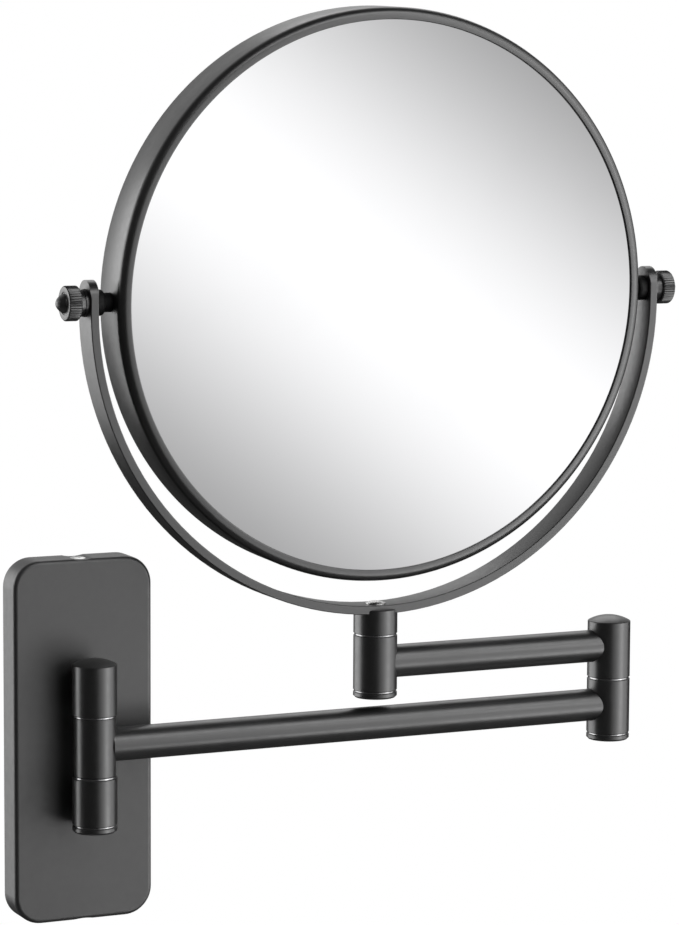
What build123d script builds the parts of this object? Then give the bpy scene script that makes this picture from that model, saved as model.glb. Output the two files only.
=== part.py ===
from build123d import *

import os
from math import cos, pi, sin

# Extendable shaving mirror. Millimetres, +Z up, +Y into the wall, +X along the folded arms.
# The origin is the centre of the face that lies on the wall.

# Wall plate
PLATE_WIDTH = 52.0
PLATE_HEIGHT = 130.0
PLATE_DEPTH = 11.2
PLATE_CORNER_R = 10.0
PLATE_EDGE_R = 1.6
SHEET = 1.2  # thickness of the drawn cover and of the mirror frame
SCOOP_R = 16.0  # shallow hollow across the cover's ends, which clears the set screws
SCOOP_DEPTH = 0.5
BRACKET_WIDTH = 40.0
BRACKET_THICKNESS = 2.0
BRACKET_END_GAP = 0.4  # between the bracket's tabs and the inside of the cover
BRACKET_TAB_DEPTH = 9.0
BRACKET_CORNER_R = 4.0
WALL_HOLE_SPACING = 84.0
WALL_HOLE_R = 2.7
STIFFENER_SIZE = (30.0, 1.5, 64.0)
STIFFENER_CORNER_R = 3.0

# Pivots
AXIS_Y = -22.0  # all three upright pivots lie in this plane when the arms are folded
KNUCKLE_R = 8.0
SLEEVE_R = 7.5  # the long arm's sleeve at the wall is a little slimmer
PIN_R = 3.95
BORE_R = 4.0
RIM_CHAMFER = 0.3
DOME_HEIGHT = 2.0
WASHER_THICKNESS = 0.5
WASHER_R = 7.6
CAP_WASHER_THICKNESS = 0.4
CAP_THICKNESS = 2.2
CAP_EDGE = 0.7
CAP_THREAD_R = 2.5
BLIND_BORE_ROOF = 3.0  # metal left over a pin that ends inside a domed knuckle
PIN_END_GAP = 0.1
HEAD_PIN_TOP = 38.0

# Arms
TUBE_R = 6.0
TUBE_WALL = 1.2
POCKET_DEPTH_FROM_AXIS = 5.3  # where a tube's end butts inside its knuckle
LONG_REACH = 206.0
SHORT_REACH = 97.0
SHORT_ARM_Z = 22.3
TUBE_BORE_R = TUBE_R - TUBE_WALL

# Heights of the knuckles
WALL_SLEEVE_HALF = 10.6
WALL_UPPER_TOP = 29.2
WALL_LOWER_BOTTOM = -28.0
ELBOW_LOWER_BOTTOM = -10.7
ELBOW_SEAM = 9.9
ELBOW_UPPER_TOP = 31.7
HEAD_KNUCKLE_BOTTOM = 12.3
HEAD_SEAM = 32.7

# Stubs between the cover and the wall knuckles
STUB_R = 5.0
STUB_Z = 20.0
STUB_POCKET_FROM_AXIS = 5.5
STUB_THREAD_FROM_AXIS = 6.8

# Mirror head
HEAD_X = LONG_REACH - SHORT_REACH
HEAD_Z = 156.1
REST_TILT = 1.8  # degrees that the mirror's top leans forward
FRAME_R = 103.0
FRAME_HALF_DEPTH = 10.0
FRAME_EDGE_R = 2.5
LIP_R = 98.6
BEZEL_SKIRT = 2.8
BEZEL_GAP = 0.05
GLASS_THICKNESS = 3.0
CONCAVE_SAG = 6.5
BACKING_THICKNESS = 1.0
SPACER_INNER_R = 96.0
BLOCK_SIZE = (7.0, 8.0, 10.0)
BLOCK_CLEARANCE = 0.2
GLASS_EDGE_CLEARANCE = 0.4
GLASS_BEVEL = 0.5

# Yoke
YOKE_INNER_R = 109.1
YOKE_THICKNESS = 3.1
YOKE_WIDTH = 12.0
YOKE_ARC_DROP = 3.1  # the half ring's centre below the mirror's pivot
EAR_ABOVE_PIVOT = 2.0  # straight part of the ear above the pivot, below its round end
STRIP_EDGE_R = 0.4
SADDLE_WALL_HEIGHT = 1.6

# Mirror pivots and thumb knobs, as distances from the mirror's centre
STUD_R = 1.95
STUD_HOLE_R = 2.02
STUD_ENDS = (95.5, 117.5)
COLLAR_BOSS_R = 3.4
COLLAR_FLANGE_R = 4.6
COLLAR_FLANGE_THICKNESS = 3.2
COLLAR_SHOULDER = 0.9
FACE_GAP = 0.05
KNOB_WASHER_R = 4.9
KNOB_WASHER_THICKNESS = 1.0
KNOB_NECK_R = 4.7
KNOB_DRUM = (115.1, 119.9)
KNOB_DRUM_R = 6.2
KNOB_BOSS_R = 4.1
KNOB_TIP = 123.0
KNOB_BORE_END = 119.0
KNURL_TEETH = 40
KNURL_DEPTH = 0.4

# Small screws
M4_R = 1.95
M4_HOLE_R = 2.0
SET_SCREW_Y = -5.6
SET_SCREW_R = 1.45
SET_SCREW_HEAD_R = 2.9
SET_SCREW_HEAD_HEIGHT = 0.7
SET_SCREW_SEAT = 0.7  # depth of the head's seat below the cover's end
SET_SCREW_LENGTH = 7.0
SET_SCREW_SLOT = (4.35, 0.6, 0.7)
SET_SCREW_CLEARANCE = 0.1
STUB_SCREW_HEAD_R = 3.6
STUB_SCREW_HEAD_HEIGHT = 2.2
STUB_SCREW_SLOT = (4.6, 2.0, 0.9)
STUB_SCREW_END_FROM_AXIS = 7.0
YOKE_SCREW_END = 33.5
YOKE_SCREW_HEAD_R = 3.7
YOKE_SCREW_HEAD_HEIGHT = 1.2
YOKE_SCREW_SLOT = (4.4, 0.9, 1.5)
YOKE_SCREW_TURN = 20.0  # degrees that the screw's cross stands turned when it is tight

YOKE_OUTER_R = YOKE_INNER_R + YOKE_THICKNESS
YOKE_ARC_Z = HEAD_Z - YOKE_ARC_DROP
SADDLE_Z = YOKE_ARC_Z - YOKE_OUTER_R
PLATE_FRONT = -PLATE_DEPTH
POST_BOTTOM = HEAD_SEAM + WASHER_THICKNESS
FRAME_INNER_R = FRAME_R - SHEET
LIP_PLANE = FRAME_HALF_DEPTH - SHEET


def rod_z(radius, bottom, top, x=0.0, y=AXIS_Y):
    """An upright round bar between two heights."""
    return Pos(x, y, (bottom + top) / 2) * Cylinder(radius, top - bottom)


def rod_y(radius, front, back, x=0.0, z=0.0):
    """A round bar along Y between two depths."""
    return Pos(x, (front + back) / 2, z) * Rot(90, 0, 0) * Cylinder(radius, back - front)


def rod_x(radius, left, right, y=AXIS_Y, z=0.0):
    """A round bar along X between two places."""
    return Pos((left + right) / 2, y, z) * Rot(0, 90, 0) * Cylinder(radius, right - left)


def turned(points):
    """A turned piece about Z from an outline of (radius, height) corners."""
    outline = make_face(Polyline(*[(r, 0, z) for r, z in points], close=True))
    return revolve(outline, Axis.Z, 360)


def knuckle(radius, bottom, top, x=0.0):
    """A round knuckle with both rims broken, before any bore is made in it."""
    edge = RIM_CHAMFER
    outline = [
        (0, bottom), (radius - edge, bottom), (radius, bottom + edge),
        (radius, top - edge), (radius - edge, top), (0, top),
    ]
    return Pos(x, AXIS_Y, 0) * turned(outline)


def domed_knuckle(radius, bottom, rim, x=0.0):
    """A knuckle whose top is a low dome."""
    edge = RIM_CHAMFER
    dome_r = radius - edge
    sides = Polyline(
        (0, 0, bottom), (radius - edge, 0, bottom), (radius, 0, bottom + edge),
        (radius, 0, rim - edge), (dome_r, 0, rim),
    )
    sphere_r = (dome_r**2 + DOME_HEIGHT**2) / (2 * DOME_HEIGHT)
    middle_r = dome_r / 2
    middle_z = rim + DOME_HEIGHT - sphere_r + (sphere_r**2 - middle_r**2) ** 0.5
    dome = ThreePointArc((dome_r, 0, rim), (middle_r, 0, middle_z), (0, 0, rim + DOME_HEIGHT))
    axis_line = Line((0, 0, rim + DOME_HEIGHT), (0, 0, bottom))
    outline = make_face([*sides.edges(), dome.edge(), axis_line.edge()])
    return Pos(x, AXIS_Y, 0) * revolve(outline, Axis.Z, 360)


def washer(radius, bottom, thickness, x=0.0):
    """A thin flat ring around a pivot pin."""
    return rod_z(radius, bottom, bottom + thickness, x) - rod_z(BORE_R, bottom, bottom + thickness, x)


def end_cap(top, x=0.0):
    """A turned cap, threaded on the lower end of a pivot pin."""
    bottom = top - CAP_THICKNESS
    edge = CAP_EDGE
    outline = [
        (0, bottom), (KNUCKLE_R - edge, bottom), (KNUCKLE_R, bottom + edge),
        (KNUCKLE_R, top - RIM_CHAMFER), (KNUCKLE_R - RIM_CHAMFER, top), (0, top),
    ]
    thread = rod_z(CAP_THREAD_R + FACE_GAP, top - CAP_THICKNESS / 2, top, x)
    return Pos(x, AXIS_Y, 0) * turned(outline) - thread


def pivot_pin(cap_top, top, x=0.0):
    """A pin with a slimmer threaded end for the cap."""
    shoulder = cap_top
    thread_bottom = cap_top - CAP_THICKNESS / 2
    return rod_z(PIN_R, shoulder, top, x) + rod_z(CAP_THREAD_R, thread_bottom, shoulder, x)


def arm_tube(start_axis_x, end_axis_x, z):
    """A plain tube that butts inside the knuckles at both of its ends."""
    left = start_axis_x + POCKET_DEPTH_FROM_AXIS
    right = end_axis_x - POCKET_DEPTH_FROM_AXIS
    return rod_x(TUBE_R, left, right, z=z) - rod_x(TUBE_BORE_R, left, right, z=z)


def tube_pocket(axis_x, direction, z):
    """The round pocket in a knuckle's side that a tube's end sits in."""
    near = axis_x + direction * POCKET_DEPTH_FROM_AXIS
    far = axis_x + direction * 2 * KNUCKLE_R
    return rod_x(TUBE_R + FACE_GAP, min(near, far), max(near, far), z=z)


def plate_block(width, height, corner_r, depth):
    """A rounded upright slab that stands out from the wall plane by a depth."""
    outline = Plane.XZ * RectangleRounded(width, height, corner_r)
    return extrude(outline, depth, dir=(0, -1, 0))


def make_cover():
    """The drawn cover, open towards the wall, with its screw and stub holes."""
    block = plate_block(PLATE_WIDTH, PLATE_HEIGHT, PLATE_CORNER_R, PLATE_DEPTH)
    front_edges = block.faces().sort_by(Axis.Y)[0].edges()
    block = fillet(front_edges, PLATE_EDGE_R)
    hollow = plate_block(
        PLATE_WIDTH - 2 * SHEET, PLATE_HEIGHT - 2 * SHEET, PLATE_CORNER_R - SHEET, PLATE_DEPTH - SHEET
    )
    cover = block - hollow
    half = PLATE_HEIGHT / 2
    for side in (1, -1):
        scoop_z = side * (half - SCOOP_DEPTH + SCOOP_R)
        cover -= rod_y(SCOOP_R, PLATE_FRONT - 1, 1, z=scoop_z)
        screw_place = Pos(0, SET_SCREW_Y, side * half)
        cover -= screw_place * Cylinder(SET_SCREW_HEAD_R + SET_SCREW_CLEARANCE, 2 * SET_SCREW_SEAT)
        cover -= screw_place * Cylinder(SET_SCREW_R + SET_SCREW_CLEARANCE, 8 * SHEET)
        cover -= rod_y(M4_HOLE_R, PLATE_FRONT - 1, 0, z=side * STUB_Z)
    return cover


def make_set_screws():
    """Two small screws, one in each end of the cover, with a slotted raised head."""
    screws = []
    seat = PLATE_HEIGHT / 2 - SET_SCREW_SEAT
    head_top = seat + SET_SCREW_HEAD_HEIGHT
    outline = [
        (0, seat - SET_SCREW_LENGTH), (SET_SCREW_R, seat - SET_SCREW_LENGTH), (SET_SCREW_R, seat),
        (SET_SCREW_HEAD_R, seat), (SET_SCREW_HEAD_R, seat + 0.3), (0.7 * SET_SCREW_HEAD_R, head_top - 0.1),
        (0, head_top),
    ]
    for side in (1, -1):
        slot = Pos(0, 0, head_top) * Box(*SET_SCREW_SLOT)
        screw = turned(outline) - slot - Rot(0, 0, 90) * slot
        screws.append(Pos(0, SET_SCREW_Y, 0) * Rot(0 if side > 0 else 180, 0, 0) * screw)
    return Compound(children=screws)


def make_bracket():
    """The steel strip screwed to the wall, with a bent tab at each end for the set screws."""
    reach = PLATE_HEIGHT / 2 - SHEET - BRACKET_END_GAP
    back = Pos(0, -BRACKET_THICKNESS / 2, 0) * Box(BRACKET_WIDTH, BRACKET_THICKNESS, 2 * reach)
    bracket = back
    for side in (1, -1):
        tab_z = side * (reach - BRACKET_THICKNESS / 2)
        bracket += Pos(0, -BRACKET_TAB_DEPTH / 2, tab_z) * Box(
            BRACKET_WIDTH / 2, BRACKET_TAB_DEPTH, BRACKET_THICKNESS
        )
    bracket = fillet(bracket.edges().filter_by(Axis.Y).group_by(Axis.X)[0], BRACKET_CORNER_R)
    bracket = fillet(bracket.edges().filter_by(Axis.Y).group_by(Axis.X)[-1], BRACKET_CORNER_R)
    for side in (1, -1):
        bracket -= Pos(0, SET_SCREW_Y, side * reach) * Cylinder(SET_SCREW_R + FACE_GAP, 4 * BRACKET_THICKNESS)
        bracket -= rod_y(WALL_HOLE_R, -2 * BRACKET_THICKNESS, 1, z=side * WALL_HOLE_SPACING / 2)
    return bracket


def make_stiffener():
    """A plate inside the cover that spreads the load of the two stub screws."""
    inside = PLATE_FRONT + SHEET
    width, thickness, height = STIFFENER_SIZE
    plate = Pos(0, inside + thickness / 2, 0) * Box(width, thickness, height)
    plate = fillet(plate.edges().filter_by(Axis.Y), STIFFENER_CORNER_R)
    for side in (1, -1):
        plate -= rod_y(M4_HOLE_R, inside - 1, inside + 2 * thickness, z=side * STUB_Z)
    return plate


def make_stub_screws():
    """Two pan-head screws, from inside the cover into the stubs."""
    seat = PLATE_FRONT + SHEET + STIFFENER_SIZE[1]
    head_back = seat + STUB_SCREW_HEAD_HEIGHT
    slot = Box(*STUB_SCREW_SLOT)
    screws = []
    for side in (1, -1):
        head = rod_y(STUB_SCREW_HEAD_R, seat, head_back, z=side * STUB_Z)
        head -= Pos(0, head_back, side * STUB_Z) * slot
        head -= Pos(0, head_back, side * STUB_Z) * Rot(0, 90, 0) * slot
        screws.append(head + rod_y(M4_R, AXIS_Y + STUB_SCREW_END_FROM_AXIS, seat, z=side * STUB_Z))
    return Compound(children=screws)


def make_stub(z):
    """A short round bar that carries a fixed knuckle in front of the cover."""
    stub = rod_y(STUB_R, AXIS_Y + STUB_POCKET_FROM_AXIS, PLATE_FRONT, z=z)
    return stub - rod_y(M4_HOLE_R, AXIS_Y + STUB_THREAD_FROM_AXIS, PLATE_FRONT, z=z)


def stub_pocket(z):
    """The round pocket in a fixed knuckle that the stub's end sits in."""
    return rod_y(STUB_R + FACE_GAP, AXIS_Y + STUB_POCKET_FROM_AXIS, 0, z=z)


def make_wall_mount():
    """Every piece that stays on the wall."""
    seam = WALL_SLEEVE_HALF + WASHER_THICKNESS
    upper = domed_knuckle(KNUCKLE_R, seam, WALL_UPPER_TOP)
    pin_top = WALL_UPPER_TOP - BLIND_BORE_ROOF - PIN_END_GAP
    upper -= rod_z(BORE_R, seam, pin_top + PIN_END_GAP)
    lower = knuckle(KNUCKLE_R, WALL_LOWER_BOTTOM, -seam)
    lower -= rod_z(BORE_R, WALL_LOWER_BOTTOM, -seam)
    cap_top = WALL_LOWER_BOTTOM - CAP_WASHER_THICKNESS
    return {
        "wall_bracket": make_bracket(),
        "bracket_set_screws": make_set_screws(),
        "wall_cover": make_cover(),
        "cover_stiffener": make_stiffener(),
        "stub_screws": make_stub_screws(),
        "wall_stub_upper": make_stub(STUB_Z),
        "wall_stub_lower": make_stub(-STUB_Z),
        "wall_knuckle_upper": upper - stub_pocket(STUB_Z),
        "wall_knuckle_lower": lower - stub_pocket(-STUB_Z),
        "wall_pin": pivot_pin(cap_top, pin_top),
        "wall_washers": Compound(
            children=[
                washer(WASHER_R, WALL_SLEEVE_HALF, WASHER_THICKNESS),
                washer(WASHER_R, -seam, WASHER_THICKNESS),
            ]
        ),
        "wall_cap_washer": washer(WASHER_R, cap_top, CAP_WASHER_THICKNESS),
        "wall_end_cap": end_cap(cap_top),
    }


def make_long_arm():
    """The lower arm, from the wall to the elbow."""
    sleeve = knuckle(SLEEVE_R, -WALL_SLEEVE_HALF, WALL_SLEEVE_HALF)
    sleeve -= rod_z(BORE_R, -WALL_SLEEVE_HALF, WALL_SLEEVE_HALF)
    elbow = knuckle(KNUCKLE_R, ELBOW_LOWER_BOTTOM, ELBOW_SEAM, LONG_REACH)
    elbow -= rod_z(BORE_R, ELBOW_LOWER_BOTTOM, ELBOW_SEAM, LONG_REACH)
    return {
        "long_arm_wall_sleeve": sleeve - tube_pocket(0, 1, 0),
        "long_arm_tube": arm_tube(0, LONG_REACH, 0),
        "long_arm_elbow_knuckle": elbow - tube_pocket(LONG_REACH, -1, 0),
    }


def make_short_arm():
    """The upper arm, from the elbow back to the pivot under the mirror."""
    upper_bottom = ELBOW_SEAM + WASHER_THICKNESS
    elbow = domed_knuckle(KNUCKLE_R, upper_bottom, ELBOW_UPPER_TOP, LONG_REACH)
    pin_top = ELBOW_UPPER_TOP - BLIND_BORE_ROOF - PIN_END_GAP
    elbow -= rod_z(BORE_R, upper_bottom, pin_top + PIN_END_GAP, LONG_REACH)
    head = knuckle(KNUCKLE_R, HEAD_KNUCKLE_BOTTOM, HEAD_SEAM, HEAD_X)
    head -= rod_z(BORE_R, HEAD_KNUCKLE_BOTTOM, HEAD_SEAM, HEAD_X)
    cap_top = ELBOW_LOWER_BOTTOM - CAP_WASHER_THICKNESS
    return {
        "short_arm_elbow_knuckle": elbow - tube_pocket(LONG_REACH, -1, SHORT_ARM_Z),
        "short_arm_tube": arm_tube(HEAD_X, LONG_REACH, SHORT_ARM_Z),
        "short_arm_head_knuckle": head - tube_pocket(HEAD_X, 1, SHORT_ARM_Z),
        "elbow_pin": pivot_pin(cap_top, pin_top, LONG_REACH),
        "elbow_washer": washer(WASHER_R, ELBOW_SEAM, WASHER_THICKNESS, LONG_REACH),
        "elbow_cap_washer": washer(WASHER_R, cap_top, CAP_WASHER_THICKNESS, LONG_REACH),
        "elbow_end_cap": end_cap(cap_top, LONG_REACH),
    }


def make_strip():
    """The half ring of flat strip, with straight ears that end in a half circle."""
    middle_r = YOKE_INNER_R + YOKE_THICKNESS / 2
    section = RectangleRounded(YOKE_THICKNESS, YOKE_WIDTH, STRIP_EDGE_R)
    leg_top = YOKE_ARC_DROP + EAR_ABOVE_PIVOT + YOKE_WIDTH / 2
    arc = revolve(Pos(middle_r, 0, 0) * section, Axis.Y, 180)
    strip = arc
    for side in (1, -1):
        strip += extrude(Pos(side * middle_r, 0, 0) * section, leg_top, dir=(0, 0, 1))
    round_z = YOKE_ARC_DROP + EAR_ABOVE_PIVOT
    envelope = rod_x(YOKE_WIDTH / 2, -2 * FRAME_R, 2 * FRAME_R, y=0, z=round_z)
    envelope += Pos(0, 0, round_z - 2 * FRAME_R) * Box(4 * FRAME_R, YOKE_WIDTH, 4 * FRAME_R)
    strip = strip & envelope
    strip -= rod_x(STUD_HOLE_R, -2 * FRAME_R, 2 * FRAME_R, y=0, z=YOKE_ARC_DROP)
    strip -= Pos(0, 0, -middle_r) * Cylinder(M4_HOLE_R, 4 * YOKE_THICKNESS)
    seat = YOKE_INNER_R + FACE_GAP
    strip -= Pos(0, 0, -seat + 2) * Cylinder(YOKE_SCREW_HEAD_R + 0.2, 4)
    return Pos(HEAD_X, AXIS_Y, YOKE_ARC_Z) * strip


def make_post():
    """The round post under the yoke, slotted across its top as a saddle for the strip."""
    top = SADDLE_Z + SADDLE_WALL_HEIGHT
    post = knuckle(KNUCKLE_R, POST_BOTTOM, top, HEAD_X)
    slot_half = YOKE_WIDTH / 2 + FACE_GAP
    post -= Pos(HEAD_X, AXIS_Y, YOKE_ARC_Z) * Rot(90, 0, 0) * Cylinder(YOKE_OUTER_R + 0.02, 2 * slot_half)
    post -= rod_z(BORE_R, POST_BOTTOM, HEAD_PIN_TOP + PIN_END_GAP, HEAD_X)
    return post - rod_z(M4_HOLE_R, HEAD_PIN_TOP, top, HEAD_X)


def make_yoke_screw():
    """The bright cross-head screw that clamps the strip in its saddle."""
    seat = YOKE_ARC_Z - YOKE_INNER_R - FACE_GAP
    head_top = seat + YOKE_SCREW_HEAD_HEIGHT
    outline = [
        (0, YOKE_SCREW_END), (M4_R, YOKE_SCREW_END), (M4_R, seat), (YOKE_SCREW_HEAD_R, seat),
        (YOKE_SCREW_HEAD_R, seat + 0.4), (0.85 * YOKE_SCREW_HEAD_R, head_top - 0.3),
        (0.5 * YOKE_SCREW_HEAD_R, head_top), (0, head_top),
    ]
    screw = turned(outline)
    slot = Pos(0, 0, head_top) * Box(*YOKE_SCREW_SLOT)
    return Pos(HEAD_X, AXIS_Y, 0) * Rot(0, 0, YOKE_SCREW_TURN) * (screw - slot - Rot(0, 0, 90) * slot)


def make_yoke():
    """Everything that swivels on the short arm and carries the mirror."""
    cap_top = HEAD_KNUCKLE_BOTTOM - CAP_WASHER_THICKNESS
    pin = pivot_pin(cap_top, HEAD_PIN_TOP, HEAD_X)
    return {
        "yoke_strip": make_strip(),
        "yoke_post": make_post(),
        "yoke_screw": make_yoke_screw(),
        "head_pin": pin - rod_z(M4_HOLE_R, YOKE_SCREW_END - 0.5, HEAD_PIN_TOP, HEAD_X),
        "head_washer": washer(WASHER_R, HEAD_SEAM, WASHER_THICKNESS, HEAD_X),
        "head_cap_washer": washer(WASHER_R, cap_top, CAP_WASHER_THICKNESS, HEAD_X),
        "head_end_cap": end_cap(cap_top, HEAD_X),
    }


def spun(corners, rounded=(), radius=0.0):
    """A ring about Y from an outline of (radius, depth) corners, some of them rounded."""
    outline = make_face(Polyline(*corners, close=True))
    picked = [
        corner
        for corner in outline.vertices()
        if any(abs(corner.X - x) < 0.01 and abs(corner.Y - y) < 0.01 for x, y in rounded)
    ]
    if picked:
        outline = fillet(picked, radius)
    return revolve(outline, Axis.Y, 360)


def make_frame():
    """The drawn ring with its front lip, and the two holes for the studs."""
    front = -FRAME_HALF_DEPTH
    ring = spun(
        [
            (LIP_R, front), (FRAME_R, front), (FRAME_R, LIP_PLANE), (FRAME_INNER_R, LIP_PLANE),
            (FRAME_INNER_R, -LIP_PLANE), (LIP_R, -LIP_PLANE),
        ],
        [(FRAME_R, front)],
        FRAME_EDGE_R,
    )
    return ring - rod_x(STUD_HOLE_R, -2 * FRAME_R, 2 * FRAME_R, y=0)


def make_bezel():
    """The rear ring that snaps into the frame and holds the magnifying glass."""
    back = FRAME_HALF_DEPTH
    skirt_outer = FRAME_INNER_R - BEZEL_GAP
    skirt_inner = skirt_outer - 0.85
    skirt_front = LIP_PLANE - BEZEL_SKIRT
    return spun(
        [
            (LIP_R, back), (LIP_R, LIP_PLANE), (skirt_inner, LIP_PLANE), (skirt_inner, skirt_front),
            (skirt_outer, skirt_front), (skirt_outer, LIP_PLANE), (FRAME_R, LIP_PLANE), (FRAME_R, back),
        ],
        [(FRAME_R, back)],
        SHEET - 0.1,
    )


def make_front_glass():
    """The flat mirror behind the front lip."""
    radius = FRAME_INNER_R - GLASS_EDGE_CLEARANCE
    front = -LIP_PLANE
    back = front + GLASS_THICKNESS
    return spun(
        [(0, front), (radius - GLASS_BEVEL, front), (radius, front + GLASS_BEVEL), (radius, back), (0, back)]
    )


def make_rear_glass():
    """The concave magnifying mirror behind the rear bezel."""
    radius = FRAME_INNER_R - BEZEL_GAP - 0.95
    sphere_r = (radius**2 + CONCAVE_SAG**2) / (2 * CONCAVE_SAG)
    half = radius / 2
    drop = CONCAVE_SAG - (sphere_r - (sphere_r**2 - half**2) ** 0.5)
    rim = LIP_PLANE
    thick = GLASS_THICKNESS
    edges = [
        ThreePointArc((0, rim - CONCAVE_SAG), (half, rim - drop), (radius, rim)).edge(),
        Line((radius, rim), (radius, rim - thick)).edge(),
        ThreePointArc(
            (radius, rim - thick), (half, rim - drop - thick), (0, rim - CONCAVE_SAG - thick)
        ).edge(),
        Line((0, rim - CONCAVE_SAG - thick), (0, rim - CONCAVE_SAG)).edge(),
    ]
    return revolve(make_face(edges), Axis.Y, 360)


def make_spacer():
    """The plastic ring between the two mirrors, with a pocket for each pivot block."""
    front = -LIP_PLANE + GLASS_THICKNESS
    back = LIP_PLANE - GLASS_THICKNESS - 0.7
    outer = FRAME_INNER_R - GLASS_EDGE_CLEARANCE
    ring = spun([(SPACER_INNER_R, front), (outer, front), (outer, back), (SPACER_INNER_R, back)])
    width, depth, height = BLOCK_SIZE
    for side in (1, -1):
        ring -= Pos(side * FRAME_R, 0, 0) * Box(4 * width, depth + BLOCK_CLEARANCE, height + BLOCK_CLEARANCE)
    return ring


def make_backing():
    """The sheet glued to the back of the flat mirror."""
    front = -LIP_PLANE + GLASS_THICKNESS
    return rod_y(SPACER_INNER_R - 0.5, front, front + BACKING_THICKNESS)


def make_pivot_block(side):
    """A steel block inside the frame that the stud is threaded into."""
    width, depth, height = BLOCK_SIZE
    outer = FRAME_INNER_R - BLOCK_CLEARANCE
    block = Pos(side * (outer - width / 2), 0, 0) * Box(width, depth, height)
    return block - rod_x(STUD_HOLE_R, -FRAME_R, FRAME_R, y=0)


def along_x(side, solid):
    """Turns a piece made about +Z so that +Z points outwards along the pivot."""
    return Rot(0, 90 * side, 0) * solid


def make_stud(side):
    """A threaded stud from the pivot block out through the ear into the knob."""
    start, end = STUD_ENDS
    tip = 0.4
    outline = [(0, start), (STUD_R, start), (STUD_R, end - tip), (STUD_R - tip, end), (0, end)]
    return along_x(side, turned(outline))


def make_collar(side):
    """A stepped collar that keeps the ear clear of the frame."""
    start = FRAME_R + FACE_GAP
    end = YOKE_INNER_R - 2 * FACE_GAP
    step = end - COLLAR_FLANGE_THICKNESS
    outline = [
        (STUD_HOLE_R, start), (COLLAR_BOSS_R, start), (COLLAR_BOSS_R, step),
        (COLLAR_FLANGE_R - COLLAR_SHOULDER, step), (COLLAR_FLANGE_R - 0.3 * COLLAR_SHOULDER, step + 0.3),
        (COLLAR_FLANGE_R, step + COLLAR_SHOULDER), (COLLAR_FLANGE_R, end),
        (STUD_HOLE_R, end),
    ]
    return along_x(side, turned(outline))


def make_knob_washer(side):
    """The flat washer between the ear and the knob."""
    start = YOKE_OUTER_R + FACE_GAP
    end = start + KNOB_WASHER_THICKNESS
    outline = [(STUD_HOLE_R, start), (KNOB_WASHER_R, start), (KNOB_WASHER_R, end), (STUD_HOLE_R, end)]
    return along_x(side, turned(outline))


def make_knob(side):
    """A knurled thumb knob with a cone on its outer face."""
    start = YOKE_OUTER_R + FACE_GAP + KNOB_WASHER_THICKNESS
    drum_start, drum_end = KNOB_DRUM
    corners = []
    for tooth in range(2 * KNURL_TEETH):
        radius = KNOB_DRUM_R - (KNURL_DEPTH if tooth % 2 else 0)
        angle = pi * tooth / KNURL_TEETH
        corners.append((radius * cos(angle), radius * sin(angle), drum_start))
    knurled = extrude(make_face(Polyline(*corners, close=True)), drum_end - drum_start, dir=(0, 0, 1))
    edge = 0.6
    drum = turned(
        [
            (0, drum_start), (KNOB_DRUM_R - edge, drum_start), (KNOB_DRUM_R, drum_start + edge),
            (KNOB_DRUM_R, drum_end - edge), (KNOB_DRUM_R - edge, drum_end), (0, drum_end),
        ]
    )
    knob = knurled & drum
    knob += turned([(0, start), (KNOB_NECK_R, start), (KNOB_NECK_R, drum_start), (0, drum_start)])
    knob += turned(
        [
            (0, drum_end), (KNOB_BOSS_R, drum_end), (KNOB_BOSS_R, drum_end + 0.4),
            (0.55 * KNOB_BOSS_R, KNOB_TIP - 0.9), (0.3 * KNOB_BOSS_R, KNOB_TIP - 0.2), (0, KNOB_TIP),
        ]
    )
    knob -= turned([(0, start), (STUD_HOLE_R, start), (STUD_HOLE_R, KNOB_BORE_END), (0, KNOB_BORE_END)])
    return along_x(side, knob)


def make_head():
    """The mirror and all that turns over with it, in place and leaning at its rest tilt."""
    pieces = {
        "mirror_frame": make_frame(),
        "rear_bezel": make_bezel(),
        "front_mirror": make_front_glass(),
        "rear_mirror": make_rear_glass(),
        "mirror_spacer": make_spacer(),
        "mirror_backing": make_backing(),
    }
    for name, side in (("left", -1), ("right", 1)):
        pieces[f"pivot_block_{name}"] = make_pivot_block(side)
        pieces[f"pivot_stud_{name}"] = make_stud(side)
        pieces[f"pivot_collar_{name}"] = make_collar(side)
        pieces[f"knob_washer_{name}"] = make_knob_washer(side)
        pieces[f"knob_{name}"] = make_knob(side)
    place = Pos(HEAD_X, AXIS_Y, HEAD_Z) * Rot(REST_TILT, 0, 0)
    return {name: place * piece for name, piece in pieces.items()}


nodes = {**make_wall_mount(), **make_long_arm(), **make_short_arm(), **make_yoke(), **make_head()}

os.makedirs("parts", exist_ok=True)
for node_name, node_solid in nodes.items():
    export_step(node_solid, f"parts/{node_name}.step")
    print(node_name, round(node_solid.volume, 1), "mm3")
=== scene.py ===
"""Extendable shaving mirror: a two-sided round mirror in a half-ring yoke, on a folding double arm.

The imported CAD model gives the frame. This script gives each piece its finish, rebuilds the pieces whose
surfaces need more than the CAD model holds, and sets up a plain studio with a camera.
"""

from __future__ import annotations

import logging
import math
from collections.abc import Callable, Sequence
from dataclasses import dataclass, field
from enum import Enum
from functools import wraps

import bmesh
import bpy
from mathutils import Matrix, Vector


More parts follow.
